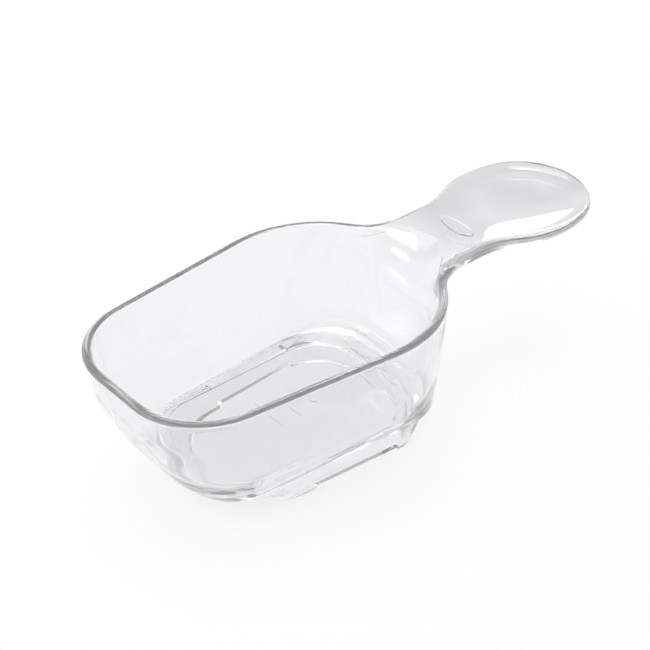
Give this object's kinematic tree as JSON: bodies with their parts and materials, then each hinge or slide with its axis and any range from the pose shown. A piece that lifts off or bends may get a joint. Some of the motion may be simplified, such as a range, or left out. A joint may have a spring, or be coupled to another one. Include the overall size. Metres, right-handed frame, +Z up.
{
  "type": "scoop",
  "caption": "Clear moulded dry-goods scoop with a square-lipped tapered bowl on a hollow foot ring and a waisted handle ending in a dished thumb rest",
  "frame": {"origin": "middle of the overall box in plan, on the surface that the foot ring stands on", "axes": "+Z up, +X along the handle towards the thumb rest, +Y across the bowl; the XZ plane is the mirror plane"},
  "size_m": [0.1518, 0.064, 0.041],
  "materials": {
    "clear_plastic": "polished, water-clear"
  },
  "bodies": {
    "root": {"bowl_wall": "clear_plastic", "rim_lip": "clear_plastic", "bowl_floor": "clear_plastic", "foot_ring": "clear_plastic", "handle_neck": "clear_plastic", "thumb_rest": "clear_plastic", "neck_badge": "clear_plastic", "floor_marks": "clear_plastic"}
  },
  "joints": []
}
